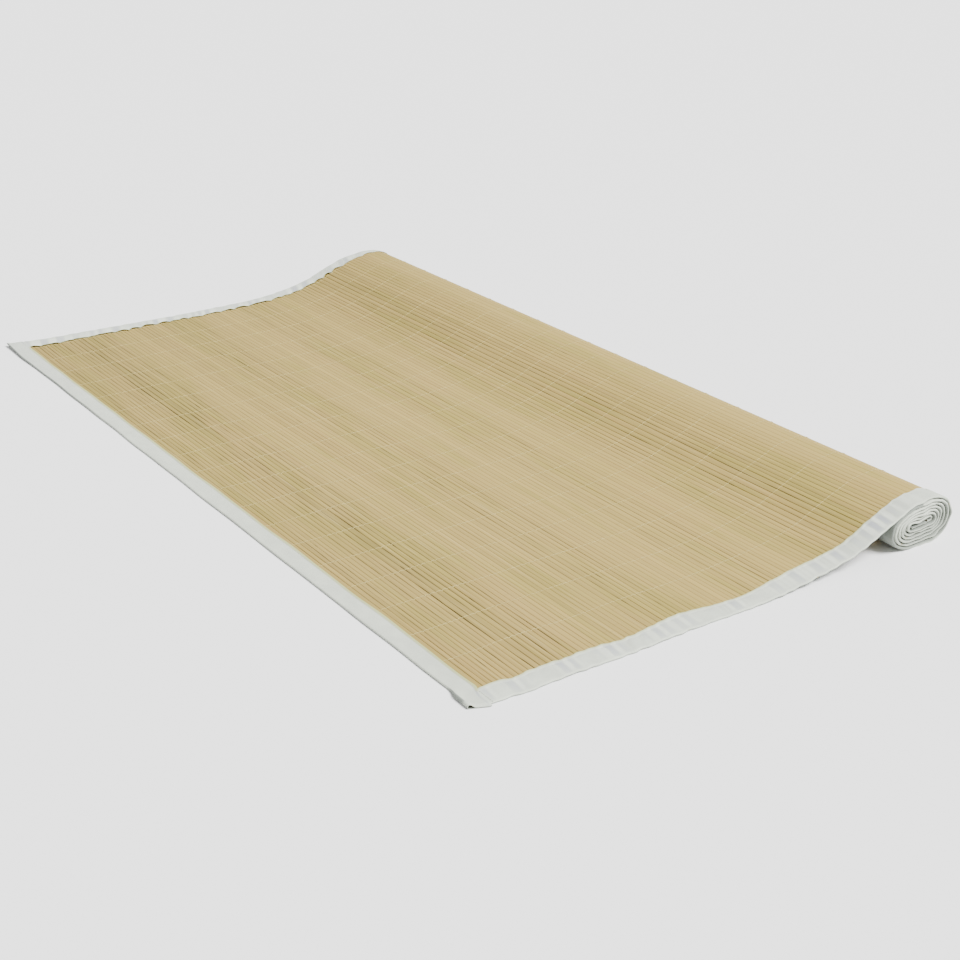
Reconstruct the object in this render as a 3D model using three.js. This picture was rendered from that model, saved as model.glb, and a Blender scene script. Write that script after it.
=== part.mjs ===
// Bamboo rug, half rolled up: a mat of bamboo slats with cloth bindings on its four edges.
// The near half lies flat, then the mat climbs onto its own flattened roll at the far side.
// Millimetres, +Z up. X runs along the slats, Y from the near edge to the roll.
// The origin is on the floor, under the middle of the rug as it lies.

import * as THREE from 'three';

// Whole rug
const RUG_WIDTH = 1200;
const SLAT_PITCH = 6.55;
const MAT_THICKNESS = 1.4;
const GROOVE_DEPTH = 0.45;

// Binding tape, folded over every edge
const CLOTH = 0.45;
const CLEARANCE = 0.3;
const BINDING_WIDTH = 24.2;
const BUTT_GAP = 0.3;
const NEAR_TAB_LEFT = 11;
const NEAR_STEP = 45;
const NEAR_WAVE = 0.5;
const NEAR_WAVE_LENGTH = 195;

// From the mat's middle to the tape's inner and outer faces, and from the rug's edge to the mat's
const TAPE_INSIDE = MAT_THICKNESS / 2 + CLEARANCE;
const HALF_BOUND = TAPE_INSIDE + CLOTH;
const MAT_INSET = CLOTH + CLEARANCE;

// Height of the middle of the mat over its height on the floor, by distance from the near edge
const LIFT = [
  { y: 0, lift: 0 },
  { y: 60, lift: 0 },
  { y: 110, lift: 0.5 },
  { y: 165, lift: 0 },
  { y: 230, lift: 0.5 },
  { y: 300, lift: 0 },
  { y: 345, lift: 0.3 },
  { y: 373, lift: 0.9 },
  { y: 402, lift: 2.1 },
  { y: 432, lift: 4.8 },
  { y: 461, lift: 8.6 },
  { y: 491, lift: 14.7 },
  { y: 506, lift: 19.1 },
  { y: 521, lift: 25.1 },
  { y: 537, lift: 32 },
];

// Roll: each turn is four quarter steps, over the top, round the far end,
// back along the bottom and round the near end. Turns count from the middle of the top,
// so the first quarter starts an eighth of a turn before 0. The core lies above the middle,
// because the layers are looser below it, and before the middle, because they are looser
// behind it. The top is crowned and leans towards the far end.
const CORE_Y = 603;
const TURN_STEP_HEIGHT = 3.82;
const TURN_STEP_SINK = 0.38;
const TURN_STEP_LENGTH = 5.35;
const TURN_STEP_AHEAD = 0.3;
const FIRST_TURN = 6.99;
const ROLL_START = -0.1606;
const ROLL_TURNS = 6.625;
const EIGHTH = 0.125;
const CORE_RUN = 14.5;
const OUTER_RUN = 12;
const TOP_CROWN = 1.2;
const TOP_CROWN_WIDTH = 24;
const TOP_CROWN_AHEAD = 6;
const CORE_DIP = 2.8;
const TOP_LEAN = 0.08;
const CORE_Z = HALF_BOUND + (TURN_STEP_HEIGHT + TURN_STEP_SINK) * (FIRST_TURN - 0.5);
const ROLL_HEIGHT = CORE_Z + (TURN_STEP_HEIGHT - TURN_STEP_SINK) * FIRST_TURN;

// The near left corner curls up a little
const CORNER_LIFT = 3.2;
const CORNER_DEPTH = 150;
const CORNER_SHARE = [
  { x: -RUG_WIDTH / 2 - NEAR_TAB_LEFT, share: 1 },
  { x: -545, share: 0.35 },
  { x: -490, share: 0 },
];

// Unevenness of the side bindings: the ends wander a little, the inner edges wave
// and stand off in puckers until the mat reaches the roll
const END_DRIFT = 0.9;
const END_DRIFT_LENGTH = 173;
const PUCKER_HEIGHT = 0.8;
const PUCKER_FADE = 60;
const SIDE_WAVES = {
  right: { size: 2.2, length: 47, second: 1.4, secondLength: 29 },
  left: { size: 2.6, length: 21.5, second: 1.1, secondLength: 58 },
};

// The near edge lies as far before the origin as the roll reaches behind it
const ROLL_REACH = OUTER_RUN + (TURN_STEP_LENGTH + TURN_STEP_AHEAD) * (FIRST_TURN - 0.25) + HALF_BOUND;
const NEAR_EDGE_Y = -(CORE_Y + ROLL_REACH) / 2;

// Steps of the middle line: between two rows of the table, and round the whole roll
const ROW_STEPS = 40;
const ROLL_STEPS = 3000;

// Each slat that shows is one step of the mat. Further inside, each quarter of a turn has
// its own number of steps, and no step is shorter than the least one.
const LAST_SLAT_TURN = 0.875;
const QUARTER_STEPS = [6, 6, 1, 6];
const LEAST_STEP = 2;

// Straight line between the rows of a table
function betweenRows(rows, key, value, at) {
  if (at <= rows[0][key]) return rows[0][value];
  for (let i = 1; i < rows.length; i += 1) {
    const before = rows[i - 1];
    const after = rows[i];
    if (at <= after[key]) {
      const part = (at - before[key]) / (after[key] - before[key]);
      return before[value] + (after[value] - before[value]) * part;
    }
  }
  return rows[rows.length - 1][value];
}

// A point of the wound mat's middle line: turn 0 is over the top of the outermost layer.
// The layers step inward in the bends alone, so the runs over and under lie level.
function rollPoint(turn) {
  const quarters = 4 * (turn + EIGHTH);
  const quarterCount = Math.floor(quarters);
  const quarter = ((quarterCount % 4) + 4) % 4;
  const part = quarters - quarterCount;
  const bend = part * Math.PI;
  const bendsDone = Math.floor(quarterCount / 2) + (quarter % 2 === 1 ? part : 0);
  const size = FIRST_TURN - bendsDone / 2;
  const inward = 1 - size / FIRST_TURN;
  const run = OUTER_RUN + (CORE_RUN - OUTER_RUN) * inward;
  const dip = CORE_DIP * inward * inward;
  const length = TURN_STEP_LENGTH * size;
  const height = TURN_STEP_HEIGHT * size;
  let y = run * (2 * part - 1);
  let z = height - dip * Math.sin(bend) ** 2;
  if (quarter === 1) {
    y = run + length * Math.sin(bend);
    z = height * Math.cos(bend);
  }
  if (quarter === 2) {
    y = run * (1 - 2 * part);
    z = -height;
  }
  if (quarter === 3) {
    y = -run - length * Math.sin(bend);
    z = -height * Math.cos(bend);
  }
  y += TURN_STEP_AHEAD * size;
  z += CORE_Z - TURN_STEP_SINK * size;
  const raised = (z - HALF_BOUND) / ROLL_HEIGHT;
  const peak = Math.exp(-(((y - TOP_CROWN_AHEAD) / TOP_CROWN_WIDTH) ** 2));
  z += TOP_LEAN * y * raised + TOP_CROWN * peak * raised * raised;
  return new THREE.Vector2(CORE_Y + y, z);
}

// The mat's middle line in the YZ plane, in small steps, with the length run so far
function middleLine() {
  const rollStart = rollPoint(ROLL_START);
  const rows = LIFT.map((row) => new THREE.Vector2(row.y, HALF_BOUND + row.lift));
  rows.push(rollStart);
  const slopes = rows.map((row, i) => {
    if (i === 0) return 0;
    if (i === rows.length - 1) {
      const ahead = rollPoint(ROLL_START + 0.001).sub(row);
      return ahead.y / ahead.x;
    }
    const before = (row.y - rows[i - 1].y) / (row.x - rows[i - 1].x);
    const after = (rows[i + 1].y - row.y) / (rows[i + 1].x - row.x);
    return before * after <= 0 ? 0 : (2 * before * after) / (before + after);
  });
  const points = [];
  for (let i = 0; i + 1 < rows.length; i += 1) {
    const width = rows[i + 1].x - rows[i].x;
    for (let k = 0; k < ROW_STEPS; k += 1) {
      const t = k / ROW_STEPS;
      const z = rows[i].y * (1 + 2 * t) * (1 - t) ** 2
        + slopes[i] * width * t * (1 - t) ** 2
        + rows[i + 1].y * t * t * (3 - 2 * t)
        + slopes[i + 1] * width * t * t * (t - 1);
      points.push({ turn: -Infinity, y: rows[i].x + width * t, z });
    }
  }
  for (let k = 0; k <= ROLL_STEPS; k += 1) {
    const turn = ROLL_START + ((ROLL_TURNS - ROLL_START) * k) / ROLL_STEPS;
    const point = rollPoint(turn);
    points.push({ turn, y: point.x, z: point.y });
  }
  let run = 0;
  points.forEach((point, i) => {
    if (i > 0) run += Math.hypot(point.y - points[i - 1].y, point.z - points[i - 1].z);
    point.run = run;
  });
  return points;
}

const LINE = middleLine();
const RUG_LENGTH = LINE[LINE.length - 1].run;

// Place and upper-side normal on the middle line, at a length along it
function station(run) {
  let low = 0;
  let high = LINE.length - 1;
  while (high - low > 1) {
    const middle = (low + high) >> 1;
    if (LINE[middle].run <= run) low = middle;
    else high = middle;
  }
  const a = LINE[low];
  const b = LINE[high];
  const part = (run - a.run) / (b.run - a.run);
  const before = LINE[Math.max(low - 1, 0)];
  const after = LINE[Math.min(high + 1, LINE.length - 1)];
  const tangent = new THREE.Vector2(after.y - before.y, after.z - before.z).normalize();
  return {
    run,
    y: NEAR_EDGE_Y + a.y + (b.y - a.y) * part,
    z: a.z + (b.z - a.z) * part,
    normalY: -tangent.y,
    normalZ: tangent.x,
  };
}

// Middle of the straight slat between two joints
function halfway(a, b) {
  const middle = {};
  for (const key of ['run', 'y', 'z', 'normalY', 'normalZ']) middle[key] = (a[key] + b[key]) / 2;
  return middle;
}

// Point beside the middle line: x along the slats, off along the upper-side normal
function place(at, x, off) {
  const depth = (at.y - NEAR_EDGE_Y) / CORNER_DEPTH;
  const curl = CORNER_LIFT * Math.max(0, 1 - depth) ** 2 * betweenRows(CORNER_SHARE, 'x', 'share', x);
  return new THREE.Vector3(x, at.y + off * at.normalY, at.z + off * at.normalZ + curl);
}

// The wound layers don't line up exactly at the ends of the roll
function drift(run, side) {
  return END_DRIFT * Math.sin((2 * Math.PI * run) / END_DRIFT_LENGTH + side);
}

function runAtTurn(turn) {
  return LINE.find((point) => point.turn >= turn).run;
}

// Lengths along the middle line of the joints between the slats that show
function slatJoints() {
  const joints = [];
  const last = runAtTurn(LAST_SLAT_TURN);
  for (let run = MAT_INSET; run < last; run += SLAT_PITCH) joints.push(run);
  return joints;
}

// Lengths of the plain steps inside the roll, after the last slat joint
function insideSteps(start, end) {
  const runs = [];
  const quarters = 4 * (ROLL_TURNS + EIGHTH);
  for (let quarter = 4; quarter < quarters; quarter += 1) {
    const steps = QUARTER_STEPS[quarter % 4];
    for (let k = 0; k < steps; k += 1) {
      const run = runAtTurn((quarter + k / steps) / 4 - EIGHTH);
      if (run > start + LEAST_STEP && run < end - LEAST_STEP) runs.push(run);
    }
  }
  runs.push(end);
  return runs;
}

// Closed sheet between a front and a back grid of points, rows by columns.
// The front faces along (next column) x (next row).
function thickSheet(front, back) {
  const rows = front.length;
  const columns = front[0].length;
  const positions = [];
  for (const grid of [front, back]) {
    for (const row of grid) {
      for (const point of row) positions.push(point.x, point.y, point.z);
    }
  }
  const index = [];
  const quad = (a, b, c, d) => index.push(a, b, c, a, c, d);
  const f = (i, j) => i * columns + j;
  const b = (i, j) => (rows + i) * columns + j;
  for (let i = 0; i + 1 < rows; i += 1) {
    for (let j = 0; j + 1 < columns; j += 1) {
      quad(f(i, j), f(i, j + 1), f(i + 1, j + 1), f(i + 1, j));
      quad(b(i, j), b(i + 1, j), b(i + 1, j + 1), b(i, j + 1));
    }
    quad(f(i, 0), f(i + 1, 0), b(i + 1, 0), b(i, 0));
    quad(f(i + 1, columns - 1), f(i, columns - 1), b(i, columns - 1), b(i + 1, columns - 1));
  }
  for (let j = 0; j + 1 < columns; j += 1) {
    quad(f(0, j + 1), f(0, j), b(0, j), b(0, j + 1));
    quad(f(rows - 1, j), f(rows - 1, j + 1), b(rows - 1, j + 1), b(rows - 1, j));
  }
  const geometry = new THREE.BufferGeometry();
  geometry.setAttribute('position', new THREE.Float32BufferAttribute(positions, 3));
  geometry.setIndex(index);
  geometry.computeVertexNormals();
  return geometry;
}

// The slats as one ribbed sheet: a ridge in the middle of each slat, a groove at each joint
function matGeometry() {
  const runs = slatJoints();
  const joints = runs.map(station);
  const half = MAT_THICKNESS / 2;
  const end = RUG_WIDTH / 2 - MAT_INSET;
  const stations = [];
  joints.forEach((joint, i) => {
    stations.push({ at: joint, top: half - GROOVE_DEPTH });
    if (i + 1 < joints.length) stations.push({ at: halfway(joint, joints[i + 1]), top: half });
  });
  for (const run of insideSteps(runs[runs.length - 1], RUG_LENGTH - MAT_INSET)) {
    stations.push({ at: station(run), top: half });
  }
  const columns = (at) => [
    -end + drift(at.run, -1),
    CORNER_SHARE[1].x,
    CORNER_SHARE[2].x,
    end + drift(at.run, 1),
  ];
  const front = stations.map(({ at, top }) => columns(at).map((x) => place(at, x, top)));
  const back = stations.map(({ at }) => columns(at).map((x) => place(at, x, -half)));
  return thickSheet(front, back);
}

// Tape in cross-section: its inner edge, its fold and the inside of the fold, each a place
// on the mat, give four points outside and four inside, from the upper side to the lower
function tapeSection(edge, fold, lining, pucker = 0) {
  const around = (corner, off) => [
    place(edge.at, edge.x, off + pucker),
    place(corner.at, corner.x, off),
    place(corner.at, corner.x, -off),
    place(edge.at, edge.x, -off),
  ];
  return { outside: around(fold, HALF_BOUND), inside: around(lining, TAPE_INSIDE) };
}

// Tape through its sections; where it folds the other way, its points run the other way too
function tapeGeometry(sections, otherWay) {
  const ordered = (points) => (otherWay ? [...points].reverse() : points);
  const front = sections.map((section) => ordered(section.outside));
  const back = sections.map((section) => ordered(section.inside));
  return thickSheet(front, back);
}

// Binding of a side edge, wound with the mat; its inner edges wave and pucker
function sideBindingGeometry(side) {
  const waves = side > 0 ? SIDE_WAVES.right : SIDE_WAVES.left;
  const start = BINDING_WIDTH + BUTT_GAP;
  const end = RUG_LENGTH - BINDING_WIDTH - BUTT_GAP;
  const joints = slatJoints().filter((run) => run > start + LEAST_STEP);
  const runs = [start, ...joints, ...insideSteps(joints[joints.length - 1], end)];
  const rollStart = runAtTurn(ROLL_START);
  const sections = runs.map((run) => {
    const at = station(run);
    const wave = Math.sin((2 * Math.PI * run) / waves.length);
    const second = Math.sin((2 * Math.PI * run) / waves.secondLength + 1);
    const width = BINDING_WIDTH + waves.size * wave + waves.second * second;
    const loose = THREE.MathUtils.smoothstep(rollStart - run, 0, PUCKER_FADE);
    const pucker = loose * PUCKER_HEIGHT * (0.5 + 0.5 * wave);
    const x = side * RUG_WIDTH / 2 + drift(run, side);
    return tapeSection({ at, x: x - side * width }, { at, x }, { at, x: x - side * CLOTH }, pucker);
  });
  return tapeGeometry(sections, side < 0);
}

// Binding of the near edge, with its left end proud of the corner
function nearBindingGeometry() {
  const left = -RUG_WIDTH / 2 - NEAR_TAB_LEFT;
  const right = RUG_WIDTH / 2;
  const xs = [left, -RUG_WIDTH / 2, CORNER_SHARE[1].x];
  for (let x = CORNER_SHARE[2].x; x < right - NEAR_STEP / 2; x += NEAR_STEP) xs.push(x);
  xs.push(right);
  const fold = station(0);
  const lining = station(CLOTH);
  const sections = xs.map((x) => {
    const wave = Math.sin((2 * Math.PI * x) / NEAR_WAVE_LENGTH) - 1;
    const edge = station(BINDING_WIDTH + NEAR_WAVE * wave);
    return tapeSection({ at: edge, x }, { at: fold, x }, { at: lining, x });
  });
  return tapeGeometry(sections, false);
}

// Binding of the wound-in edge, in the core of the roll
function coreBindingGeometry() {
  const edge = station(RUG_LENGTH - BINDING_WIDTH);
  const fold = station(RUG_LENGTH);
  const lining = station(RUG_LENGTH - CLOTH);
  const sections = [-RUG_WIDTH / 2, RUG_WIDTH / 2].map((x) => (
    tapeSection({ at: edge, x }, { at: fold, x }, { at: lining, x })
  ));
  return tapeGeometry(sections, true);
}

const bamboo = new THREE.MeshStandardMaterial({ color: 0xc2b28d, roughness: 0.55, metalness: 0 });
const tape = new THREE.MeshStandardMaterial({ color: 0xcdcfc8, roughness: 0.9, metalness: 0 });

function piece(name, geometry, material) {
  const mesh = new THREE.Mesh(geometry, material);
  mesh.name = name;
  return mesh;
}

const rug = new THREE.Group();
rug.add(piece('slat_mat', matGeometry(), bamboo));
rug.add(piece('side_binding_right', sideBindingGeometry(1), tape));
rug.add(piece('side_binding_left', sideBindingGeometry(-1), tape));
rug.add(piece('near_binding', nearBindingGeometry(), tape));
rug.add(piece('core_binding', coreBindingGeometry(), tape));

export default rug;
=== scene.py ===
"""Bamboo rug, half rolled up: slats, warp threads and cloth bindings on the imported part."""

import math

import bpy
import numpy as np
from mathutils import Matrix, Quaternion, Vector


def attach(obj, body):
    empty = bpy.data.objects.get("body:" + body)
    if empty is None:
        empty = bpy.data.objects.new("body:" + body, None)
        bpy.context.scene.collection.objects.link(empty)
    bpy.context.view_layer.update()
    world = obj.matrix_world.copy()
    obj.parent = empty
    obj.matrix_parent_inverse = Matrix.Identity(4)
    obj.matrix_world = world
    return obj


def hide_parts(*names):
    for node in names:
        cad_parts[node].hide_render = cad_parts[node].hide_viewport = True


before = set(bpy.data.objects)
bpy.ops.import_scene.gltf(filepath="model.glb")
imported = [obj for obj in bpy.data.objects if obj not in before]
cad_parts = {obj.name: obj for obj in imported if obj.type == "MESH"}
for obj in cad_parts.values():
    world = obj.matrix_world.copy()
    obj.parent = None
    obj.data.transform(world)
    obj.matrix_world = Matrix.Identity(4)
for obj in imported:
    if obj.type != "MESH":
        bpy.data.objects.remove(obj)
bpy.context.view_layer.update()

bl_info = {
    "name": "Bamboo rug",
    "version": (1, 0, 0),
    "blender": (4, 5, 0),
    "location": "3D View > Sidebar > Rug",
    "description": "Builds the slats, threads, bindings and stitches of a half rolled bamboo rug",
    "category": "Add Mesh",
}

MM = 0.001
X_AXIS = np.array((1.0, 0, 0))
Z_AXIS = np.array((0, 0, 1.0))

# Sizes of the rug, as the part has them
RUG_WIDTH = 1200 * MM
SLAT_PITCH = 6.55 * MM
HALF_MAT = 0.7 * MM
HALF_BOUND = 1.45 * MM
MAT_INSET = 0.75 * MM
BINDING_WIDTH = 24.2 * MM
NEAR_TAB_LEFT = 11 * MM
END_DRIFT = 0.9 * MM
END_DRIFT_LENGTH = 173 * MM
CORNER_CUT = 8 * MM
CORNER_CUT_END = 15 * MM
CORNER_CUT_LENGTH = 18 * MM
SIDE_CUT = 3.2 * MM
SIDE_CUT_FADE = 35 * MM, 60 * MM

# Distance from the near edge and how far the mat is lifted there, in mm
LIFT = np.array([
    (0, 0), (60, 0), (110, 0.5), (165, 0), (230, 0.5), (300, 0), (345, 0.3), (373, 0.9),
    (402, 2.1), (432, 4.8), (461, 8.6), (491, 14.7), (506, 19.1), (521, 25.1), (537, 32),
]) * MM

# The roll: an ellipse that loses one step at each turn. Its core lies above and before the
# middle, and its top leans to the far end.
CORE_Y = 603 * MM
STEP_HEIGHT = 3.82 * MM
STEP_SINK = 0.38 * MM
STEP_LENGTH = 5.35 * MM
STEP_AHEAD = 0.3 * MM
FIRST_TURN = 6.99
ROLL_START = -0.1606
ROLL_TURNS = 6.625
CORE_RUN = 14.5 * MM
OUTER_RUN = 12 * MM
CORE_DIP = 2.8 * MM
TOP_CROWN = 1.2 * MM
TOP_CROWN_WIDTH = 24 * MM
TOP_CROWN_AHEAD = 6 * MM
TOP_LEAN = 0.08
CORE_Z = HALF_BOUND + (STEP_HEIGHT + STEP_SINK) * (FIRST_TURN - 0.5)
ROLL_HEIGHT = CORE_Z + (STEP_HEIGHT - STEP_SINK) * FIRST_TURN
ROLL_REACH = OUTER_RUN + (STEP_LENGTH + STEP_AHEAD) * (FIRST_TURN - 0.25) + HALF_BOUND
NEAR_EDGE_Y = -(CORE_Y + ROLL_REACH) / 2
LAST_SLAT_TURN = 0.875

# Points of the middle line between two rows and in the roll, and sines in one wandering
ROW_POINTS = 40
ROLL_POINTS = 3001
SMALL_TURN = 0.001
WANDER_TERMS = 5

# The near left corner curls up
CORNER_LIFT = 3.2 * MM
CORNER_DEPTH = 150 * MM
CORNER_X = np.array((-611, -545, -490)) * MM
CORNER_SHARE = 1, 0.35, 0

# The left end sags where it lies over the roll
END_DROOP = 4 * MM
DROOP_WIDTH = 26 * MM
DROOP_FADE = 560 * MM, 592 * MM


def bell(value, middle, width):
    """Bell curve, 1 at its middle."""
    return np.exp(-(((value - middle) / width) ** 2))


def roll_point(turn):
    """Point (y, z) of the wound mat's middle line; turn 0 is over the top of the outermost layer.

    A turn is four quarters: level over the top, half an ellipse round the far end, level back
    along the bottom and half an ellipse round the near end. The ellipse shrinks in the bends.
    The upper layers are then crowned by a bell curve and sheared to lean.
    """
    quarters = 4 * turn + 0.5
    count = np.floor(quarters)
    quarter = np.mod(count, 4).astype(int)
    part = quarters - count
    bend = part * math.pi
    size = FIRST_TURN - (np.floor(count / 2) + np.where(quarter % 2 == 1, part, 0)) / 2
    inward = 1 - size / FIRST_TURN
    run = OUTER_RUN + (CORE_RUN - OUTER_RUN) * inward
    dip = CORE_DIP * inward**2
    reach = run + STEP_LENGTH * size * np.sin(bend)
    height = STEP_HEIGHT * size
    level = run * (2 * part - 1)
    y = np.choose(quarter, [level, reach, -level, -reach])
    top = height - dip * np.sin(bend) ** 2
    z = np.choose(quarter, [top, height * np.cos(bend), -height, -height * np.cos(bend)])
    y += STEP_AHEAD * size
    z = z + CORE_Z - STEP_SINK * size
    raised = (z - HALF_BOUND) / ROLL_HEIGHT
    peak = bell(y, TOP_CROWN_AHEAD, TOP_CROWN_WIDTH)
    z = z + TOP_LEAN * y * raised + TOP_CROWN * peak * raised**2
    return CORE_Y + y, z


def middle_line():
    """The mat's middle line: a smooth curve through the lift table, then the roll's spiral.

    Between two rows the height is a cubic whose end slopes are the harmonic mean of the
    neighbouring slopes. It gives the length run so far, y, z, the upper side's normal and turn.
    """
    start_y, start_z = roll_point(np.array(ROLL_START))
    ahead_y, ahead_z = roll_point(np.array(ROLL_START + SMALL_TURN))
    rows_y = np.append(LIFT[:, 0], start_y)
    rows_z = np.append(HALF_BOUND + LIFT[:, 1], start_z)
    steps = np.diff(rows_z) / np.diff(rows_y)
    before, after = steps[:-1], steps[1:]
    rising = before * after > 0
    slopes = np.zeros(len(rows_y))
    slopes[1:-1] = np.where(rising, 2 * before * after / np.where(rising, before + after, 1), 0)
    slopes[-1] = (ahead_z - start_z) / (ahead_y - start_y)
    t = np.linspace(0, 1, ROW_POINTS, endpoint=False)[None, :]
    width = np.diff(rows_y)[:, None]
    low, high = rows_z[:-1, None], rows_z[1:, None]
    sheet_z = low * (1 + 2 * t) * (1 - t) ** 2 + high * t * t * (3 - 2 * t)
    sheet_z += slopes[:-1, None] * width * t * (1 - t) ** 2
    sheet_z += slopes[1:, None] * width * t * t * (t - 1)
    sheet_y = rows_y[:-1, None] + width * t
    turns = np.linspace(ROLL_START, ROLL_TURNS, ROLL_POINTS)
    roll_y, roll_z = roll_point(turns)
    y = np.concatenate([sheet_y.ravel(), roll_y])
    z = np.concatenate([sheet_z.ravel(), roll_z])
    run = np.concatenate([[0], np.cumsum(np.hypot(np.diff(y), np.diff(z)))])
    along_y, along_z = np.gradient(y), np.gradient(z)
    long = np.hypot(along_y, along_z)
    turn = np.concatenate([np.full(sheet_y.size, -1.0), turns])
    up_y, up_z = -along_z / long, along_y / long
    return {"run": run, "y": NEAR_EDGE_Y + y, "z": z, "up_y": up_y, "up_z": up_z, "turn": turn}


LINE = middle_line()
RUG_LENGTH = LINE["run"][-1]


def on_line(run, *keys):
    """Values of the middle line at lengths along it, straight between its points."""
    return np.stack([np.interp(run, LINE["run"], LINE[key]) for key in keys])


def run_at_turn(turn):
    """Length along the middle line where the roll has made this many turns."""
    return LINE["run"][np.argmax(LINE["turn"] >= turn)]


def curl(y, x):
    """Lift of the near left corner: a square law in y times a straight-line share in x."""
    depth = np.maximum(0, 1 - (y - NEAR_EDGE_Y) / CORNER_DEPTH)
    return CORNER_LIFT * depth**2 * np.interp(x, CORNER_X, CORNER_SHARE)


def droop(x, y, z):
    """Sag of the rug's left end over the roll: a square law in x."""
    out = np.clip((-x - RUG_WIDTH / 2 + DROOP_WIDTH) / DROOP_WIDTH, 0, 1)
    raised = np.clip((z - CORE_Z) / (ROLL_HEIGHT - CORE_Z), 0, 1)
    return END_DROOP * out**2 * raised * smooth(y - NEAR_EDGE_Y, *DROOP_FADE)


def place(run, x, off):
    """Points beside the middle line: run along it, x along the slats, off to the upper side."""
    run, x, off = np.broadcast_arrays(run, x, off)
    y, z, up_y, up_z = on_line(run, "y", "z", "up_y", "up_z")
    y += np.minimum(run, 0)
    return np.stack([x, y + off * up_y, z + off * up_z + curl(y, x) - droop(x, y, z)], -1)


def corner_cut(run):
    """How far the near right corner falls short of a sharp one: a straight slant."""
    return CORNER_CUT * np.clip((CORNER_CUT_END - run) / CORNER_CUT_LENGTH, 0, 1)


def side_cut(run):
    """How far the right side falls short beside the corner, under the near binding's end."""
    return SIDE_CUT * (1 - smooth(run, *SIDE_CUT_FADE))


def end_drift(run, side):
    """How the rug's side wanders in and out along its length: one long sine."""
    return END_DRIFT * np.sin(math.tau * run / END_DRIFT_LENGTH + side)


def side_end(run, side):
    """x of the rug's right (side 1) or left (side -1) end, with the cuts at the near corner."""
    end = side * RUG_WIDTH / 2 + end_drift(run, side)
    return end - corner_cut(run) - side_cut(run) if side > 0 else end


def wander(rng, count, at, shortest, longest):
    """Independent wanderings of size about 1, each a sum of sines of random length."""
    low, high = math.log(shortest), math.log(longest)
    lengths = np.exp(rng.uniform(low, high, (count, 1, WANDER_TERMS)))
    phases = rng.uniform(0, math.tau, (count, 1, WANDER_TERMS))
    waves = np.sin(math.tau * at[:, None] / lengths + phases)
    return waves.sum(-1) * math.sqrt(2 / WANDER_TERMS)


def ripple(seed, at, shortest, longest):
    """One such wandering over a column of places; seed is a number or a generator."""
    return wander(np.random.default_rng(seed), 1, at.ravel(), shortest, longest)[0][:, None]


def smooth(value, low, high):
    """Smooth step from 0 at low to 1 at high."""
    t = np.clip((value - low) / (high - low), 0, 1)
    return t * t * (3 - 2 * t)


# Turning grids of points into meshes


def unit(vectors):
    """The same directions at length 1."""
    return vectors / np.maximum(np.linalg.norm(vectors, axis=-1, keepdims=True), 1e-12)


def triples(*facts):
    """Three facts spread to one shape, as rows of three numbers."""
    return np.stack(np.broadcast_arrays(*facts), -1).reshape(-1, 3)


def outward(points, quads):
    """The same faces, turned round if the volume they enclose comes out negative."""
    a, b, c, d = (points[quads[:, i]] for i in range(4))
    volume = (a * np.cross(b, c)).sum() + (a * np.cross(c, d)).sum()
    return quads[:, ::-1] if volume < 0 else quads


def tubes(rings):
    """Closed tubes from points of shape (tubes, rings, points round, 3).

    Each ring joins the next one with a band of quads. Quads that join the first half of a ring
    to its second half close the ends, so the points round are even in number.
    """
    index = np.arange(rings[..., 0].size).reshape(rings.shape[:3])
    ahead = np.roll(index, -1, axis=2)
    band = np.stack([index[:, :-1], ahead[:, :-1], ahead[:, 1:], index[:, 1:]], -1)
    last = rings.shape[2] - 1
    first = np.arange(last // 2)
    pairs = np.stack([first, first + 1, last - 1 - first, last - first], -1)
    near, far = index[:, 0][:, pairs[:, ::-1]], index[:, -1][:, pairs]
    quads = np.concatenate([part.reshape(-1, 4) for part in (band, near, far)])
    points = rings.reshape(-1, 3)
    return points, outward(points, quads)


def cloth(middle, thickness):
    """Closed cloth from a grid (rows, columns, 3): half the thickness goes to either side.

    The two sides are the grid shifted along its normals, and a rim of quads joins them.
    """
    down, across = np.gradient(middle, axis=(0, 1))
    half = unit(np.cross(down, across)) * thickness / 2
    index = np.arange(middle[..., 0].size).reshape(middle.shape[:2])
    faces = np.stack([index[:-1, :-1], index[1:, :-1], index[1:, 1:], index[:-1, 1:]], -1)
    faces = faces.reshape(-1, 4)
    rim = np.concatenate([index[0], index[1:, -1], index[-1, -2::-1], index[-2:0:-1, 0]])
    ahead = np.roll(rim, -1)
    rim = np.stack([rim, ahead, ahead + index.size, rim + index.size], -1)
    points = np.concatenate([middle + half, middle - half]).reshape(-1, 3)
    quads = np.concatenate([faces, faces[:, ::-1] + index.size, rim])
    return points, outward(points, quads)


def add_object(name, data):
    """A new object in the scene."""
    made = bpy.data.objects.new(name, data)
    bpy.context.scene.collection.objects.link(made)
    return made


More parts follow.
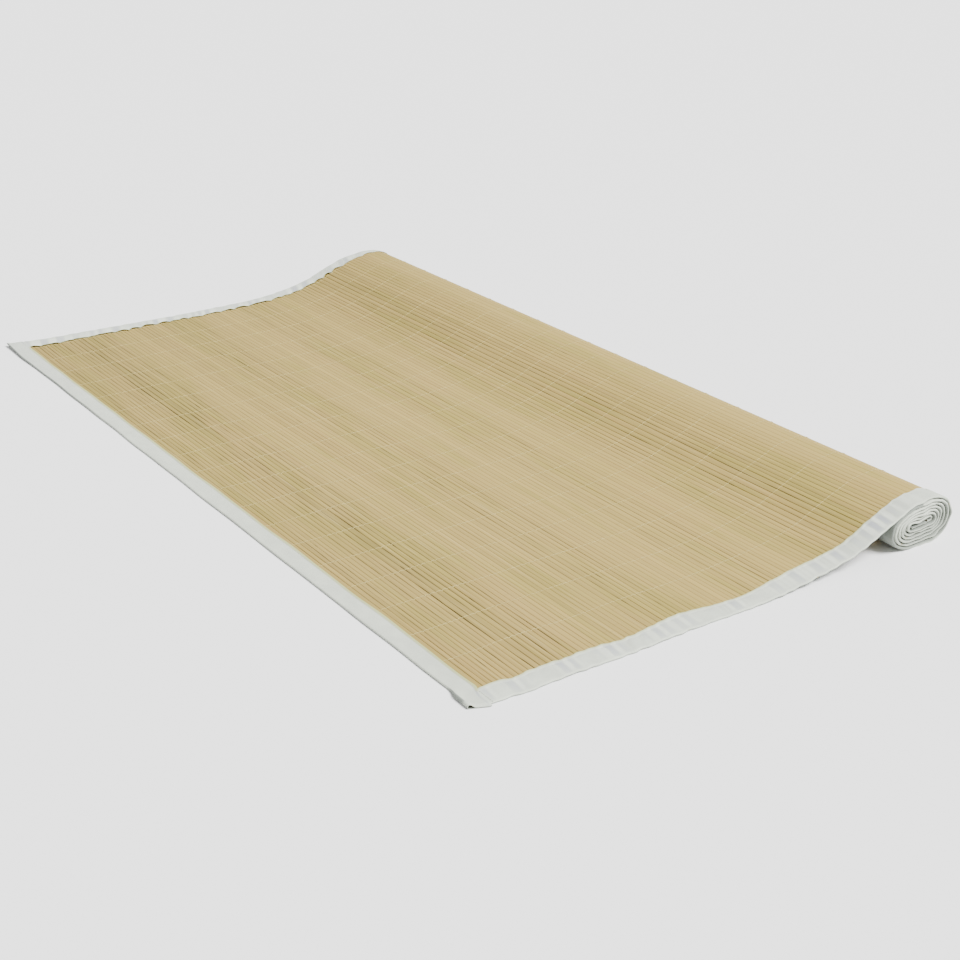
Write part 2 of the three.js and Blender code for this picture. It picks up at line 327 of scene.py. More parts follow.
def make_piece(name, shape, finish, sharp, replaces=()):
    """A mesh piece from points, quads and facts, which hold three numbers for each point.

    It rides on the rug's one body and stands for the CAD nodes named in replaces. Edges that
    turn by more than sharp degrees look sharp.
    """
    points, quads, facts = shape
    mesh = bpy.data.meshes.new(name)
    mesh.vertices.add(len(points))
    mesh.vertices.foreach_set("co", points.astype(np.float32).ravel())
    mesh.loops.add(quads.size)
    mesh.loops.foreach_set("vertex_index", quads.astype(np.int32).ravel())
    mesh.polygons.add(len(quads))
    mesh.polygons.foreach_set("loop_start", np.arange(0, quads.size, 4, dtype=np.int32))
    mesh.update(calc_edges=True)
    if mesh.validate():
        raise RuntimeError(f"{name} has faces that aren't valid")
    mesh.shade_smooth()
    mesh.set_sharp_from_angle(angle=math.radians(sharp))
    for key, values in facts.items():
        attribute = mesh.attributes.new(key, "FLOAT_VECTOR", "POINT")
        attribute.data.foreach_set("vector", values.astype(np.float32).ravel())
    mesh.materials.append(finish)
    piece = add_object(name, mesh)
    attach(piece, "root")
    if replaces:
        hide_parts(*replaces)


# Materials


def sums(operation, turned=False):
    """An operator on signals: one Math node on both sides, or on both sides turned round."""

    def operator(self, other):
        sides = (other, self) if turned else (self, other)
        return self.finish.maths(operation, *sides)

    return operator


class Signal:
    """What comes out of one node, so that shader sums are written as Python sums."""

    __add__, __radd__ = sums("ADD"), sums("ADD", turned=True)
    __sub__, __rsub__ = sums("SUBTRACT"), sums("SUBTRACT", turned=True)
    __mul__, __rmul__ = sums("MULTIPLY"), sums("MULTIPLY", turned=True)
    __truediv__, __rtruediv__ = sums("DIVIDE"), sums("DIVIDE", turned=True)

    def __init__(self, finish, socket):
        self.finish = finish
        self.socket = socket


class Finish:
    """One material, built from nodes."""

    def __init__(self, name):
        self.material = bpy.data.materials.new(name)
        self.material.use_nodes = True
        self.tree = self.material.node_tree
        self.tree.nodes.clear()

    def node(self, kind, settings, sockets, out=0):
        """A node: its settings are set first, then the values or links of its sockets."""
        made = self.tree.nodes.new(kind)
        for key, value in settings.items():
            setattr(made, key, value)
        for key, value in sockets.items():
            if isinstance(value, Signal):
                self.tree.links.new(value.socket, made.inputs[key])
            else:
                made.inputs[key].default_value = value
        return Signal(self, made.outputs[out]) if made.outputs else None

    def maths(self, operation, *values):
        """One sum on numbers or signals."""
        return self.node("ShaderNodeMath", {"operation": operation}, dict(enumerate(values)))

    def split(self, vector):
        """A vector's three numbers."""
        return [self.node("ShaderNodeSeparateXYZ", {}, {0: vector}, out) for out in range(3)]

    def facts(self, name):
        """Three numbers stored at the mesh's points."""
        return self.split(self.node("ShaderNodeAttribute", {"attribute_name": name}, {}, "Vector"))

    def noise(self, x, y, z, detail=2.0, roughness=0.5):
        """Smooth noise from 0 to 1; a factor on x, y or z is its number of spots a metre."""
        at = self.node("ShaderNodeCombineXYZ", {}, {0: x, 1: y, 2: z})
        sockets = {"Vector": at, "Scale": 1.0, "Detail": detail, "Roughness": roughness}
        return self.node("ShaderNodeTexNoise", {}, sockets)

    def step(self, value, low, high, start=0.0, end=1.0):
        """Smooth step of a value from start at low to end at high."""
        settings = {"interpolation_type": "SMOOTHSTEP"}
        sockets = dict(enumerate((value, low, high, start, end)))
        return self.node("ShaderNodeMapRange", settings, sockets)

    def mix(self, share, first, second):
        """A colour between two colours."""
        first, second = (c if isinstance(c, Signal) else (*c, 1.0) for c in (first, second))
        sockets = {0: share, 6: first, 7: second}
        return self.node("ShaderNodeMix", {"data_type": "RGBA"}, sockets, 2)

    def surface(self, color, roughness, height, depth, specular, sheen=0.0):
        """The shader: varying colour, roughness and bump height, the rest set on its sockets."""
        bump = self.node("ShaderNodeBump", {}, {"Distance": depth, "Height": height})
        shader = self.node("ShaderNodeBsdfPrincipled", {}, {
            "Base Color": color, "Roughness": roughness, "Normal": bump,
            "Specular IOR Level": specular, "Sheen Weight": sheen,
        })
        self.node("ShaderNodeOutputMaterial", {}, {"Surface": shader})
        return self.material


# From joint to joint of a cane, and the share of that in a joint's ring
CANE_JOINTS = 430 * MM
RING_WIDTH = 0.0042
# Twist of a thread in radians a metre, and depths of bumps
PLY_TWIST = 4200.0
ROUGH_RELIEF = 0.12 * MM
FINE_RELIEF = 0.1 * MM


def bamboo_finish(settings):
    """Split bamboo: tone and hue differ from slat to slat and in long patches.

    Fine fibres run along each slat, dark ones and pale ones, and a faint ring crosses it where
    the cane had a joint. The cut edges are dark, and painted shade in the grooves between slats
    darkens them further in broken lines and dashes. All of this is stronger in the bands where
    the grooves show, where painted shade also darkens the slats overall, and the slats are
    darker to the left.
    """
    finish = Finish("split_bamboo")
    noise, step, mix = finish.noise, finish.step, finish.mix
    along, across, slat = finish.facts("grain")
    edge, tone, band = finish.facts("groove")
    fibre = noise(along * 7.0, across * 1500.0, slat * 60.0, 3.0, 0.65)
    streak = noise(along * 13.0, across * 560.0, slat * 90.0)
    patch = noise(along * 5.0, across * 26.0, slat * 0.6)
    warm = noise(along * 4.0 + 9.0, across * 17.0, slat * 0.9 + 5.0)
    pale = noise(along * 9.0, across * 480.0, slat * 40.0)
    line = noise(along * 14.0, across * 200.0, slat * 30.0)
    dash = noise(along * 16.0, across * 140.0, 3.0, 1.0)
    green = step(patch + band * 0.1, 0.46, 0.74)
    color = mix(green, settings.bamboo_light, settings.bamboo_green)
    color = mix(step(warm, 0.5, 0.72) * 0.7, color, settings.bamboo_warm)
    pale = step(pale, 0.56, 0.76) * (0.15 + band * 0.45)
    color = mix(pale, color, settings.bamboo_pale)
    ring_at = finish.maths("FRACT", along / CANE_JOINTS + slat * 17.3)
    ring = step(finish.maths("ABSOLUTE", ring_at - 0.5), 0.001, RING_WIDTH, 1.0, 0.0)
    # band * 0.15 is painted shade over the grooved bands
    dark = 0.01 + band * 0.15 - tone * 0.05 + step(along, -0.6, 0.05, 0.12, 0.0)
    dark += step(streak, 0.35, 0.75) * (0.05 + band * 0.16)
    dark = dark + step(fibre, 0.5, 0.8) * (0.04 + band * 0.12) + ring * 0.06
    # Dark lines and dashes at the slats' edges: dark cut edges, and painted shade in the grooves
    lines = edge * (0.07 + step(line, 0.46, 0.6) * 1.25) * settings.groove_shade_darkness
    dashes = step(dash, 0.74, 0.79) * edge * 2.0
    dark = finish.maths("MAXIMUM", dark, 0.0) + lines + dashes
    color = mix(finish.maths("MINIMUM", dark, 0.95), color, settings.bamboo_dark_and_shade)
    height = fibre * 0.5 + streak * 0.5 - ring * 0.6
    return finish.surface(color, 0.46 + fibre * 0.2, height, ROUGH_RELIEF, specular=0.12)


def cotton_finish(settings):
    """Plain-woven cotton tape: fine crossing threads and faint mottling.

    It is greener where it is thin. It has painted shade and painted highlight on the two
    sides of a crease, and painted shade under the fold and in other shaded places.
    """
    finish = Finish("cotton_tape")
    along, across, layer = finish.facts("weave")
    thin, under, crease = finish.facts("thinness_and_shade")
    per_thread = math.tau / settings.cloth_thread
    warp, weft = (finish.maths("SINE", way * per_thread) for way in (along, across))
    slub = finish.noise(along * 60.0, across * 700.0, layer)
    mottle = finish.noise(along * 45.0, across * 60.0, layer, 3.0)
    color = finish.mix(finish.step(mottle, 0.3, 0.7), settings.cotton_shade, settings.cotton)
    # Painted shade and painted highlight on a crease's two sides; painted shade under the fold and
    # in shaded places
    for share, other in (
        (finish.step(slub, 0.55, 0.8) * 0.25, settings.cotton_shade),
        (crease * 0.8, settings.cotton_crease_shade),
        (crease * -0.7, settings.cotton_painted_highlight),
        (thin, settings.cotton_thin),
        (under * 0.8, settings.cotton_painted_shade),
    ):
        color = finish.mix(share, color, other)
    roughness, height = 0.88 + mottle * 0.08, warp * weft * 0.5 + slub * 0.6
    return finish.surface(color, roughness, height, ROUGH_RELIEF, specular=0.2, sheen=0.12)


def thread_finish(name, light, shade):
    """Twisted cotton thread: slanting plies with painted shade between them, darker in random
    stretches.
    """
    finish = Finish(name)
    along, around, strand = finish.facts("ply")
    ply = finish.maths("SINE", along * PLY_TWIST + around * 2.0)
    uneven = finish.noise(along * 90.0, around, strand * 40.0)
    pale_stretches = finish.step(finish.noise(along * 26.0, 0.0, strand * 9.0), 0.38, 0.6, 0.45, 1.0)
    # Painted shade in the troughs between the plies, and random paler and darker stretches
    share = (finish.step(ply, -0.9, 0.5) * 0.6 + uneven * 0.4) * pale_stretches
    color = finish.mix(share, shade, light)
    return finish.surface(color, 0.8 + uneven * 0.1, ply, FINE_RELIEF, specular=0.25)


def floor_finish(settings):
    """Plain pale floor with a faint unevenness in its sheen."""
    finish = Finish("pale_floor")
    x, y, z = finish.split(finish.node("ShaderNodeTexCoord", {}, {}, "Object"))
    cloud = finish.noise(x * 2.0, y * 2.0, z, 1.0)
    color, roughness = (*settings.floor, 1.0), 0.75 + cloud * 0.1
    return finish.surface(color, roughness, cloud, FINE_RELIEF, specular=0.1)


# Pieces: the slats


# How much the grooves between slats show, by length along the rug in mm
# The same numbers set how strong the painted shade of the grooves and bands is
GROOVE_BANDS = np.array([
    (0, 0.7), (30, 0.75), (60, 0.7), (90, 0.95), (115, 1.15), (135, 0.7), (155, 0.4), (175, 0.3),
    (200, 0.5), (240, 0.45), (255, 0.75), (275, 0.7), (295, 0.2), (315, 0.08), (340, 0.12),
    (360, 0.4), (380, 0.65), (400, 0.7), (418, 0.12), (438, 0), (455, 0.08), (475, 0.4),
    (495, 0.56), (515, 0.62), (538, 0.6), (560, 0.38), (578, 0.2), (598, 0.05), (640, 0.08),
    (760, 0.35), (800, 0.6),
])
# A slat in cross-section: share of its half width, height in mm, how far a shoulder drops, edge
# edge is the share of dark cut edge and painted shade in the groove
SLAT_SECTION = np.array([
    (-1.0, 0.2, 1, 1), (-0.93, 0.5, 0.6, 0.75), (-0.76, 0.67, 0.15, 0.12), (0, 0.7, 0, 0),
    (0.76, 0.67, 0.15, 0.12), (0.93, 0.5, 0.6, 0.75), (1.0, 0.2, 1, 1),
    (1.0, -0.45, 0, 1), (0.93, -0.66, 0, 0.6), (0.5, -0.7, 0, 0), (0, -0.7, 0, 0),
    (-0.5, -0.7, 0, 0), (-0.93, -0.66, 0, 0.6), (-1.0, -0.45, 0, 1),
])
# How a slat strays sideways, up and in tilt, and how its shoulders drop
SLAT_SWAY = 0.22 * MM
SLAT_LIFT = 0.07 * MM
SLAT_TILT = 0.018
SHOULDER_DROP = 0.32 * MM
# The slats under the core binding and beside it end short of the rug's sides
CORE_REACH = BINDING_WIDTH + 3 * MM
CORE_INSET = 7 * MM
SHOWN_STEPS = 46
INSIDE_STEPS = 5


def groove_band(run):
    """How much the grooves show at lengths along the rug, as a column."""
    return np.interp(run, GROOVE_BANDS[:, 0] * MM, GROOVE_BANDS[:, 1])[:, None]


def on_chord(joints, run_off, x, off):
    """Points of flat slats: along the chord between two joints, and off at right angles."""
    line = on_line(joints, "y", "z")
    step = np.diff(line)
    middle_y, middle_z = (line[:, :-1] + step / 2)[..., None, None]
    along_y, along_z = (step / np.diff(joints))[..., None, None]
    unit_y, unit_z = (step / np.hypot(*step))[..., None, None]
    y = middle_y + along_y * run_off - unit_z * off
    z = middle_z + along_z * run_off + unit_y * off
    return np.stack([x, y, z + curl(y, x) - droop(x, y, z)], -1)


def slat_tubes(rng, joints, steps, bent=False):
    """Slats between joints: a crowned strip carried along x on the mat's middle line.

    Each joint wanders along x and opens here and there, by how much its band shows grooves and
    by a strength of its own, and the slats on its two sides share that edge. A slat lies on
    the chord between its joints, or bent along the line, and tilts and lifts on its way.
    """
    count = len(joints) - 1
    share = np.linspace(0, 1, steps)
    x_like = (share - 0.5) * RUG_WIDTH
    middle = (joints[:-1] + joints[1:]) / 2
    half = np.diff(joints)[:, None] / 2
    bands, joint_bands = groove_band(middle), groove_band(joints)
    sway = SLAT_SWAY * wander(rng, count + 1, x_like, 0.25, 1.4)
    opening = wander(rng, count + 1, x_like, 0.09, 0.5)
    opened = np.clip(opening - 0.2, 0, 0.8) + 1.3 * np.clip(opening - 1.9, 0, 0.5)
    strength = np.clip(np.exp(0.5 * rng.normal(0, 1, (count + 1, 1))), 0.35, 1.8)
    gap = 0.02 + strength * (joint_bands * 0.04 + (0.15 + joint_bands) * 0.11 * opened)
    low = sway[:-1] + gap[:-1] * MM - half
    high = sway[1:] - gap[1:] * MM + half
    bands = bands[..., None]
    tilt = bands * SLAT_TILT * wander(rng, count, x_like, 0.3, 1.8)[..., None]
    lift = bands * SLAT_LIFT * wander(rng, count, x_like, 0.3, 1.8)[..., None]
    side, height, drop, edge = SLAT_SECTION.T
    run_off = (high + low)[..., None] / 2 + (high - low)[..., None] / 2 * side
    off = height * MM - drop * SHOULDER_DROP * (bands - 0.45) + tilt * run_off + lift
    run = middle[:, None, None] + run_off
    inset = MAT_INSET + CORE_INSET * (run > RUG_LENGTH - CORE_REACH)
    left, right = side_end(run, -1) + inset, side_end(run, 1) - inset
    x = left + (right - left) * share[:, None]
    rings = place(run, x, off) if bent else on_chord(joints, run_off, x, off)
    slat = rng.uniform(0, 1, (count, 1, 1))
    tone = np.clip(rng.normal(0, 1, (count, 1, 1)), -1.6, 1.6)
    # edge: share of dark cut edge and painted groove shade, more where a joint opens and in
    # grooved bands
    nearest = np.where(side < 0, strength[:-1], strength[1:])[:, None, :]
    edge = edge * nearest * (0.1 + 0.85 * bands) + 0 * run
    facts = {"grain": triples(x, run, slat), "groove": triples(edge, tone, bands)}
    return *tubes(rings), facts


def joined(shapes):
    """Several (points, quads, facts) one after another, the faces counted on."""
    points, quads, facts = zip(*shapes)
    starts = np.cumsum([0, *map(len, points)])
    quads = np.concatenate([own + start for own, start in zip(quads, starts)])
    facts = {key: np.concatenate([own[key] for own in facts]) for key in facts[0]}
    return np.concatenate(points), quads, facts


def slat_joints():
    """Lengths along the rug of the joints between slats: those that show, and those inside.

    Slat widths differ by a tenth, partly from slat to slat, partly in slow waves.
    """
    rng = np.random.default_rng(5)
    long = RUG_LENGTH - 2 * MAT_INSET
    count = round(long / SLAT_PITCH)
    slow = wander(rng, 1, np.arange(count), 4, 30)[0]
    widths = 1 + 0.07 * slow + 0.055 * rng.normal(0, 1, count)
    joints = MAT_INSET + np.append(0, np.cumsum(widths)) * long / widths.sum()
    last = np.searchsorted(joints, run_at_turn(LAST_SLAT_TURN))
    return joints[: last + 1], joints[last:]


def make_slats(settings):
    """The mat: slats that show in full detail, and plainer ones wound inside the roll."""
    rng = np.random.default_rng(11)
    shown, inside = slat_joints()
    parts = [slat_tubes(rng, shown, SHOWN_STEPS), slat_tubes(rng, inside, INSIDE_STEPS, bent=True)]
    make_piece("bamboo_slats", joined(parts), bamboo_finish(settings), 50, ["slat_mat"])


# Angles of the points round a thread or stitch, and a strand's rings to a slat
ROUND = math.tau * (np.arange(6) + 0.5) / 6
STRAND_STEPS = 5
STRAND_FLATNESS = 2.4
THREAD_SWAY = 0.9 * MM


def ovals(centre, wide, high):
    """Rings round the centres: cosine of the angle along wide, sine of it along high."""
    rings = centre[..., None, :] + np.cos(ROUND)[:, None] * wide[..., None, :]
    return rings + np.sin(ROUND)[:, None] * high[..., None, :]


def make_threads(settings):
    """Warp threads: at each line two strands pass over and under the slats by turns.

    A strand's height over the mat's middle is a flattened cosine, one half wave to a slat,
    and it sways sideways a quarter wave later, so the two strands twine round each other.
    """
    rng = np.random.default_rng(23)
    shown, _ = slat_joints()
    slat = np.arange((len(shown) - 1) * STRAND_STEPS + 1) / STRAND_STEPS
    run = np.interp(slat, np.arange(len(shown)), shown)
    past_seam = run > BINDING_WIDTH * 0.6
    slat, run = slat[past_seam], run[past_seam]
    wave = math.pi * (slat - 0.5)
    flat = np.tanh(STRAND_FLATNESS * np.cos(wave)) / math.tanh(STRAND_FLATNESS)
    lines = settings.first_thread + settings.thread_spacing * np.arange(settings.threads)
    path_x = lines[:, None] + THREAD_SWAY * wander(rng, len(lines), run, 0.12, 0.9)
    half_high = settings.thread_width * 0.32
    finish = thread_finish("warp_cotton", settings.thread, settings.thread_shade)
    for half, group in enumerate(np.array_split(np.arange(len(lines)), 2)):
        parts = []
        for turn in (1, -1):
            off = turn * (HALF_MAT + half_high * 0.8) * flat
            x = path_x[group] + turn * 0.3 * settings.thread_width * np.sin(wave)
            centre = place(run, x, off)
            up = np.cross(X_AXIS, unit(np.gradient(centre, axis=1)))
            rings = ovals(centre, X_AXIS * settings.thread_width / 2, up * half_high)
            ply = triples(run[:, None], ROUND, group[:, None, None] * 0.1 + turn)
            parts.append((*tubes(rings), {"ply": ply}))
        make_piece(f"warp_threads_{half + 1}", joined(parts), finish, 80)


# Pieces: the bindings


# Folded tape in cross-section, from the upper inner edge over the fold to the lower one, in
# shares of the way from inner edge to fold
UPPER_FLAP = np.array((0, 0.02, 0.05, 0.09, 0.13, 0.16, 0.2, 0.27, 0.37, 0.5, 0.64, 0.78, 0.9, 1))
FOLD_ANGLES = np.radians((68, 45, 22, 0, -22, -45, -68))
LOWER_FLAP = np.array((1, 0.9, 0.72, 0.5, 0.3, 0.16, 0.1, 0.04, 0))
UPPER_COLUMNS = slice(len(UPPER_FLAP))
FOLD_COLUMNS = slice(len(UPPER_FLAP), len(UPPER_FLAP) + len(FOLD_ANGLES))
SEAM_COLUMNS = slice(2, 7)
FOLD_LENGTH = 3 * MM
LEAST_FOLD = 0.4 * MM
# Way across the tape at each column, from its upper inner edge
ACROSS_TAPE = np.concatenate([
    UPPER_FLAP * BINDING_WIDTH,
    BINDING_WIDTH + (0.5 - np.sin(FOLD_ANGLES) / 2) * FOLD_LENGTH,
    2 * BINDING_WIDTH + FOLD_LENGTH - LOWER_FLAP * BINDING_WIDTH,
])
SEAM_INSET = 3.6 * MM
# Heights of the flaps over the rug's middle
SIDE_HEIGHT = 1.2 * MM
NEAR_HEIGHT = 1.24 * MM
NEAR_EXTRA = 0.14 * MM
UNDERSIDE = -1.22 * MM
TUCKED_HEIGHT = 0.92 * MM


def seam_dip(share, width):
    """Bell curve over the seam, by share of the way across the tape."""
    return bell(share, SEAM_INSET / BINDING_WIDTH, width)


def tape_section(width, fold, upper, lower):
    """Distance from the rug's edge and height over its middle, for folded tape.

    width is a column of the tape's widths, fold of how far its fold reaches out past the edge,
    upper and lower the heights of its two flaps as functions of the share from inner edge
    to fold. The fold between them is half a circle.
    """
    up, low = upper(UPPER_FLAP), lower(LOWER_FLAP)
    first, last = up[:, -1:], low[:, :1]
    radius = np.maximum((first - last) / 2, LEAST_FOLD)
    start = radius - fold
    over, under = (width - share * (width - start) for share in (UPPER_FLAP, LOWER_FLAP))
    bend = start - radius * np.cos(FOLD_ANGLES)
    bend_height = (first + last) / 2 + radius * np.sin(FOLD_ANGLES)
    return np.concatenate([over, bend, under], 1), np.concatenate([up, bend_height, low], 1)


def in_columns(rows, columns, values):
    """A fact that is 0 but in some columns of the tape."""
    fact = np.zeros((len(rows), len(ACROSS_TAPE)))
    fact[:, columns] = values
    return fact


def make_tape(settings, finish, node, grid, along, thin=0.0, crease=0.0, dark=0.0):
    """Tape from a grid of its middle in place of a node, with weave, thinness and painted shade.

    The facts say how thin it is, where painted shade darkens it, and how it is creased: above 0
    on a crease's painted-shade side and below 0 on its painted-highlight side. The lower flap
    and half of the fold always get painted shade.
    """
    # Painted shade on the lower flap and the fold's lower half, next to the floor
    bend = np.clip(0.25 - np.sin(FOLD_ANGLES), 0, 1)
    under = np.concatenate([0 * UPPER_FLAP, bend, 1 + 0 * LOWER_FLAP])
    weave = triples(along, ACROSS_TAPE, 0.0)
    thinness_and_shade = triples(thin + 0 * along, np.maximum(under, dark), crease)
    other_side = weave + 7 * Z_AXIS
    facts = {"weave": np.concatenate([weave, other_side]), "thinness_and_shade": np.tile(thinness_and_shade, (2, 1))}
    shape = *cloth(grid, settings.cloth_thickness), facts
    make_piece(node.replace("binding", "binding_cloth"), shape, finish, 60, [node])


# Mean width of the right binding at lengths along the rug, in mm
RIGHT_WIDTHS = np.array([
    (20, 27), (38, 27.6), (64, 25.4), (92, 27.2), (121, 25), (155, 28.4), (195, 22.6), (229, 25.5),
    (272, 30), (318, 23.6), (358, 22), (398, 27), (438, 28), (500, 24.6), (560, 26.4), (640, 25),
])
# What differs between the right (1) and the left (-1) side binding: its start, its scallops'
# length, depth and lift, and its puckers' shortest and longest wave and slant
SIDES = {
    1: {
        "node": "side_binding_right", "start": 3 * MM, "scallop": 27 * MM, "depth": 1.9 * MM,
        "lift": 1.0 * MM, "waves": (13 * MM, 34 * MM), "slant": 0.15,
    },
    -1: {
        "node": "side_binding_left", "start": 15.5 * MM, "scallop": 24 * MM, "depth": 4.8 * MM,
        "lift": 1.8 * MM, "waves": (15 * MM, 30 * MM), "slant": -0.35,
    },
}
OPEN_STEP = 1.9 * MM
ROLL_STEP = 2.9 * MM


def scallops(run, side):
    """Height from 0 to 1 of the uneven scallops of a binding's edge, and their size."""
    at = run / SIDES[side]["scallop"]
    phase = at + 0.2 * np.sin(1.7 * at) + 0.4 * np.sin(0.61 * at)
    return np.abs(np.sin(math.pi * phase)), 0.7 + 0.3 * np.sin(0.83 * at + 1)


def side_width(run, side):
    """Width of a side binding: slow waves, and scallops with cusps towards the mat."""
    arch, size = scallops(run, side)
    if side > 0:
        at, widths = RIGHT_WIDTHS.T * MM
        slow = sum(np.interp(run + shift * MM, at, widths) for shift in (-8, 0, 8)) / 3
    else:
        slow = np.sin(math.tau * run / (58 * MM) + 1) + np.sin(math.tau * run / (141 * MM))
        slow = BINDING_WIDTH + 0.8 * MM * slow
    return slow + SIDES[side]["depth"] * size * (0.6 - arch)


def make_side_binding(settings, side, finish):
    """Side binding: folded tape carried along the rug's edge and round every turn of the roll.

    The puckers slant, with painted shade and painted highlight on their two slopes, and a
    painted highlight over the roll's top. The roll's near flank has painted shade. At the
    corner the tape tucks in under the near binding.
    """
    own = SIDES[side]
    roll = run_at_turn(ROLL_START)
    run = np.concatenate([
        np.arange(own["start"], roll, OPEN_STEP),
        np.arange(roll, RUG_LENGTH - BINDING_WIDTH - 0.3 * MM, ROLL_STEP),
    ])[:, None]
    turn = on_line(run, "turn")[0]
    loose = smooth(roll - run, -10 * MM, 60 * MM)
    tucked = 1 - smooth(run, 20 * MM, 26.5 * MM)
    arch, size = scallops(run, side)

    def pucker(share):
        """Four slanting waves with overtones: their phase shifts with the way across."""
        draw = np.random.default_rng(41 + side)
        total = 0
        for _ in range(4):
            wave, phase = draw.uniform(*own["waves"]), draw.uniform(0, math.tau)
            angle = math.tau * (run + own["slant"] * share * BINDING_WIDTH) / wave + phase
            total = total + np.sin(angle) + 0.25 * np.sin(2 * angle)
        return 0.5 + 0.25 * total

    def upper(share):
        """Upper flap: puckers and scallops where it is loose, crinkles in the roll."""
        calm = np.interp(share, (0, 0.1, 0.16, 0.3, 0.6, 1), (0.8, 0.3, 0.12, 0.8, 1, 0.35))
        lift = np.interp(share, (0, 0.1, 0.24), (1, 0.5, 0)) * arch * size * own["lift"]
        crinkle = np.clip(0.3 * ripple(51 + side, run, 0.009, 0.05) + 0.1, -0.18, 0.5) * MM
        height = SIDE_HEIGHT + (pucker(share) * calm * settings.pucker_height + lift) * loose
        height = height + crinkle * (1 - loose) - 0.16 * MM * seam_dip(share, 0.035)
        return height * (1 - tucked) + TUCKED_HEIGHT * tucked

    def lower(share):
        """Lower flap: level, with a little slack in the roll."""
        slack = np.clip(0.12 * ripple(81 + side, run, 0.012, 0.05), -0.1, 0.15) * MM
        height = UNDERSIDE - slack * (1 - loose) + 0.1 * MM * seam_dip(share, 0.035)
        return height * (1 - tucked) - TUCKED_HEIGHT * tucked

    sag = np.interp(run, (0, 0.05, 0.1, 0.25), (6, 5, 4, 0)) * MM if side < 0 else 0
    uneven = 0.35 * MM * ripple(31 + side, run, 0.012, 0.06)
    fold = sag + uneven * (1 - tucked) - tucked * 0.4 * MM
    distance, height = tape_section(side_width(run, side), fold, upper, lower)
    grid = place(run, side_end(run, side) - side * distance, height)
    grid[..., 2] = np.maximum(grid[..., 2], settings.cloth_thickness / 2)
    # Painted shade and painted highlight on the puckers' two slopes, and a painted highlight over
    # the roll's top
    slope = -np.gradient(pucker(UPPER_FLAP), run[:, 0], axis=0)
    some = ripple(91 + side, run, 0.05, 0.16)
    if side > 0:
        some = np.clip(0.55 + 0.5 * some, 0.1, 1.1) + 0.5 * smooth(run, 380 * MM, 440 * MM)
    else:
        some = np.clip(1 + 0.4 * some, 0.5, 1.5)
    shown = np.interp(UPPER_FLAP, (0, 0.1, 0.3, 0.8, 1), (0.4, 0.6, 1, 0.8, 0.3))
    shown = shown * some * smooth(roll - run, -40 * MM, 10 * MM)
    crease = np.tanh(1.4 * slope / slope.std()) * shown - 0.35 * bell(turn, 0, 0.13)
    crease = in_columns(run, UPPER_COLUMNS, crease) * (1 - tucked)
    thin = np.interp(UPPER_FLAP, (0, 0.04, 0.1), (0.8, 0.5, 0))
    thin = in_columns(run, UPPER_COLUMNS, thin) * loose
    # Painted shade on the roll's near flank, under the rise
    flank = smooth(turn, 0.48, 0.7) * (turn < 0.97)
    dark = flank * np.interp(ACROSS_TAPE, (0, BINDING_WIDTH), (1.25, 1.0))
    make_tape(settings, finish, own["node"], grid, run, thin, crease, dark)


def over_sides(x):
    """1 where the near binding lies over the side bindings, 0 between them."""
    return smooth(np.abs(x), 570 * MM, 578 * MM)


